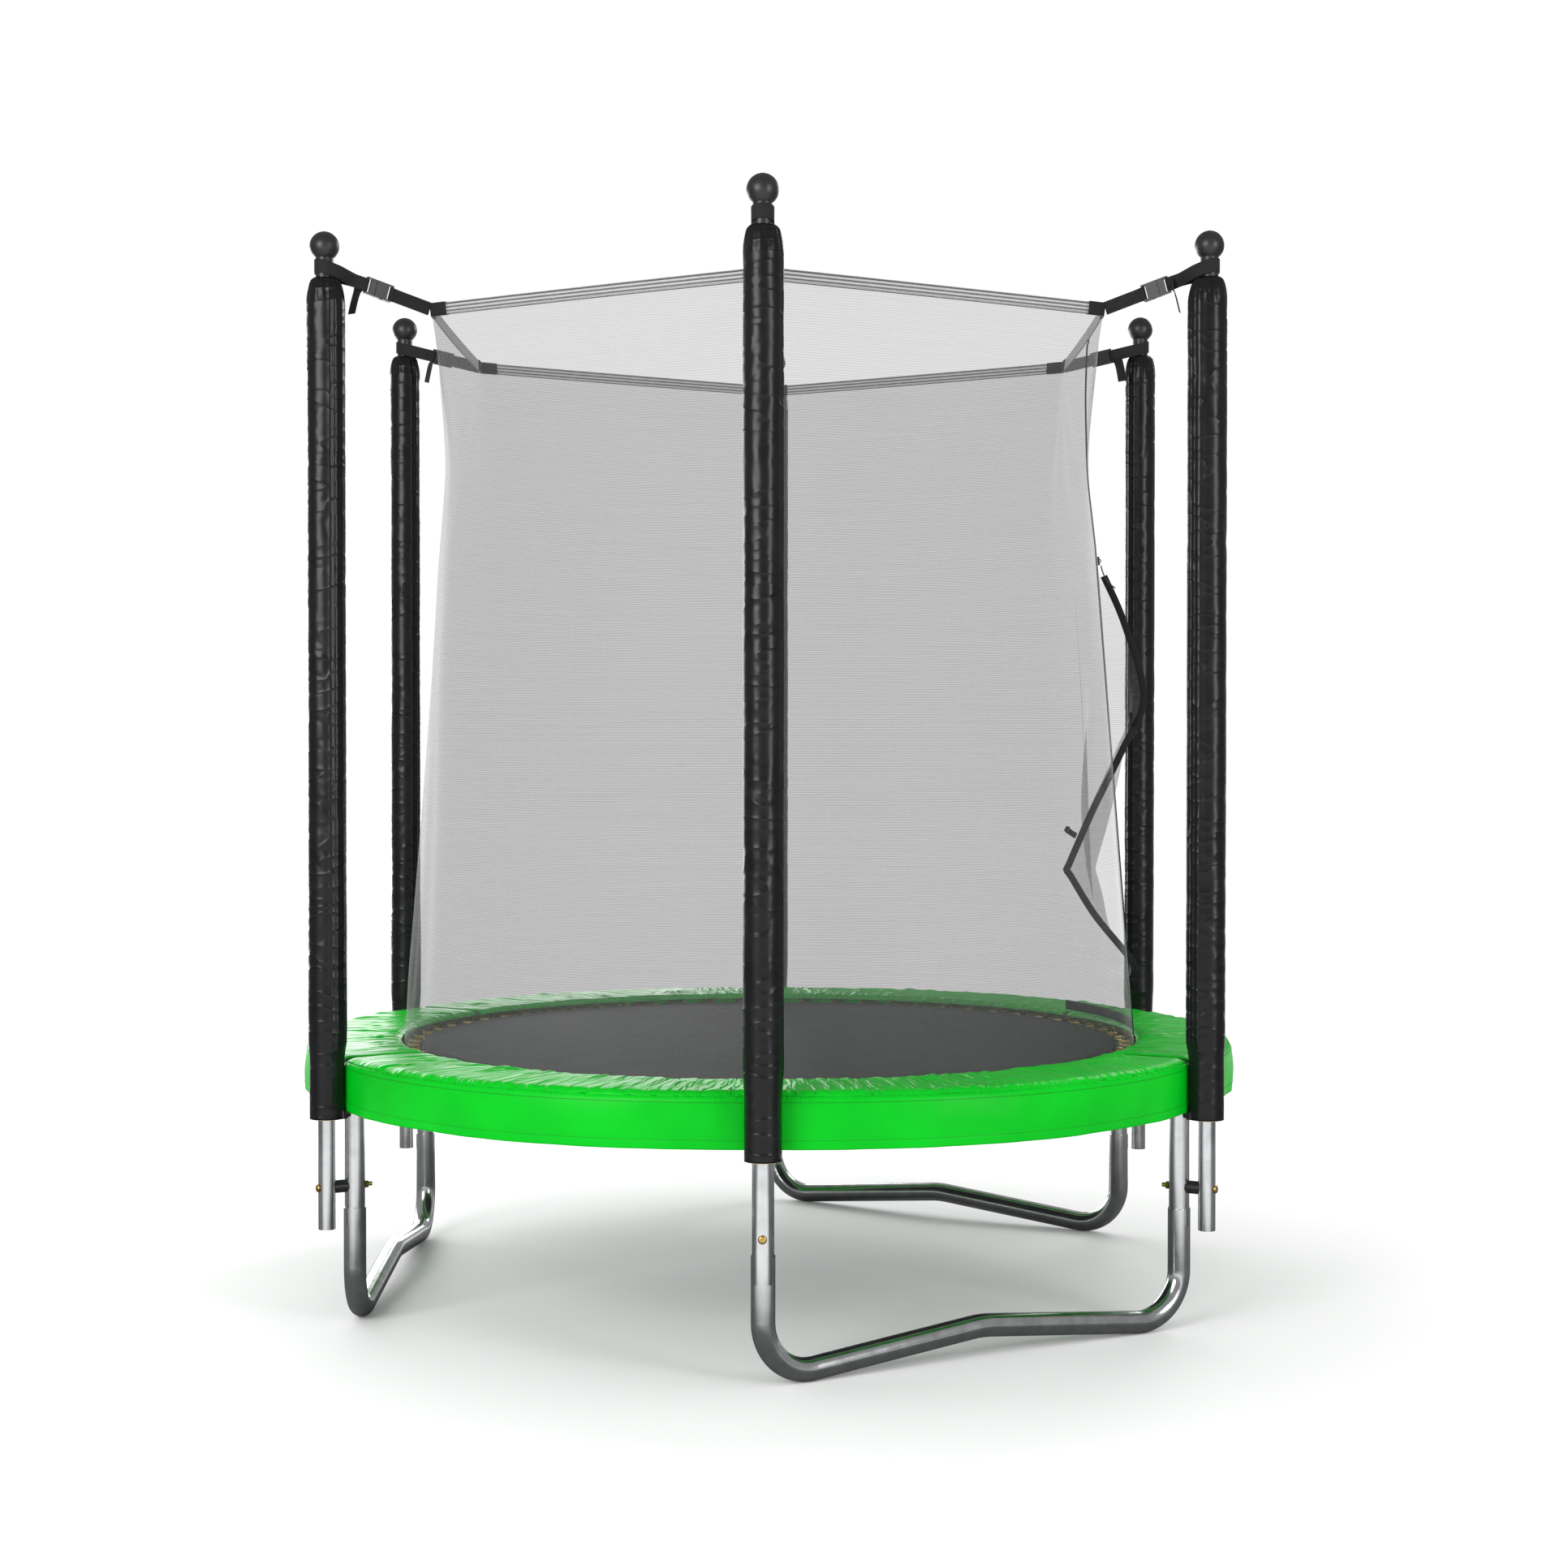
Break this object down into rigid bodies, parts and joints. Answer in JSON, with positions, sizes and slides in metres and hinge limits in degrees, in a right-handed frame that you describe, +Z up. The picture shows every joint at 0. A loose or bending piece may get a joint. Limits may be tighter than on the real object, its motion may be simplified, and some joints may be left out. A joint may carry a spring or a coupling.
{
  "type": "garden trampoline with safety net",
  "caption": "Round garden trampoline with a sprung mat, green edge pad, steel W-shaped legs, padded net poles and an inner safety net with a zipped door.",
  "frame": {"origin": "on the ground at the centre of the frame", "axes": "+Z up; -Y towards the front pole; the door is on the +X side"},
  "size_m": [1.882, 1.966, 2.052],
  "materials": {
    "steel": "bright galvanised tube",
    "yellow_zinc": "yellow zinc plating",
    "spring_steel": "zinc-plated spring wire",
    "black_plastic": "moulded, lightly grained",
    "sleeve_vinyl": "satin coated cloth, wrinkled across",
    "foam": "closed-cell foam",
    "webbing": "woven webbing",
    "mat_fabric": "tight woven mesh",
    "pad_vinyl": "glossy coated cloth over foam",
    "net_mesh": "fine open mesh",
    "hem_tape": "striped hem tape"
  },
  "bodies": {
    "frame": {"top_rail_1": "steel", "top_rail_2": "steel", "top_rail_3": "steel", "top_rail_4": "steel", "top_rail_5": "steel", "top_rail_6": "steel", "leg_foot_1": "steel", "leg_foot_2": "steel", "leg_foot_3": "steel", "leg_foot_4": "steel", "leg_foot_5": "steel", "leg_foot_6": "steel", "leg_crossbar_1": "steel", "leg_crossbar_2": "steel", "leg_crossbar_3": "steel", "leg_uprights": "steel", "pole_lower_tubes": "steel", "pole_upper_tubes": "steel", "pole_bolts": "yellow_zinc", "pole_nuts": "yellow_zinc", "rail_screws": "yellow_zinc", "springs": "spring_steel", "pole_caps": "black_plastic", "pole_spacers": "black_plastic", "buckle_sockets": "black_plastic", "pole_sleeve_1": "sleeve_vinyl", "pole_sleeve_2": "sleeve_vinyl", "pole_sleeve_3": "sleeve_vinyl", "pole_sleeve_4": "sleeve_vinyl", "pole_sleeve_5": "sleeve_vinyl", "pole_sleeve_6": "sleeve_vinyl", "pole_foam": "foam", "net_corner_tabs": "webbing", "door_binding": "webbing", "door_tabs": "webbing", "zip_track": "webbing", "spring_pad": "pad_vinyl", "pad_skirt": "pad_vinyl", "net_panels": "net_mesh", "net_door_panel": "net_mesh", "net_lower_band": "net_mesh", "door_flap": "net_mesh", "net_top_hem": "hem_tape"},
    "mat": {"mat": "mat_fabric", "mat_tabs": "webbing", "mat_rings": "yellow_zinc"},
    "zip_slider": {"zip_slider": "yellow_zinc", "zip_pull_cord": "webbing"},
    "strap_1": {"net_strap_1": "webbing", "buckle_plug_1": "black_plastic"},
    "strap_2": {"net_strap_2": "webbing", "buckle_plug_2": "black_plastic"},
    "strap_3": {"net_strap_3": "webbing", "buckle_plug_3": "black_plastic"},
    "strap_4": {"net_strap_4": "webbing", "buckle_plug_4": "black_plastic"},
    "strap_5": {"net_strap_5": "webbing", "buckle_plug_5": "black_plastic"},
    "strap_6": {"net_strap_6": "webbing", "buckle_plug_6": "black_plastic"}
  },
  "joints": [
    {"name": "mat_bounce", "type": "slide", "parent": "frame", "child": "mat", "axis": [0, 0, 1], "range_m": [-0.12, 0], "stiffness_N_per_m": 6000, "springref_m": 0.005, "deforming": ["springs", "net_lower_band"]},
    {"name": "strap_1_release", "type": "slide", "parent": "frame", "child": "strap_1", "axis": [0, -0.9658, 0.2591], "range_m": [0, 0.02]},
    {"name": "strap_2_release", "type": "slide", "parent": "frame", "child": "strap_2", "axis": [0.8364, -0.4829, 0.2591], "range_m": [0, 0.02]},
    {"name": "strap_3_release", "type": "slide", "parent": "frame", "child": "strap_3", "axis": [0.8364, 0.4829, 0.2591], "range_m": [0, 0.02]},
    {"name": "strap_4_release", "type": "slide", "parent": "frame", "child": "strap_4", "axis": [0, 0.9658, 0.2591], "range_m": [0, 0.02]},
    {"name": "strap_5_release", "type": "slide", "parent": "frame", "child": "strap_5", "axis": [-0.8364, 0.4829, 0.2591], "range_m": [0, 0.02]},
    {"name": "strap_6_release", "type": "slide", "parent": "frame", "child": "strap_6", "axis": [-0.8364, -0.4829, 0.2591], "range_m": [0, 0.02]},
    {"name": "zip_slide", "type": "slide", "parent": "frame", "child": "zip_slider", "axis": [0.0788, -0.0083, -0.9969], "range_m": [0, 0.75]}
  ]
}
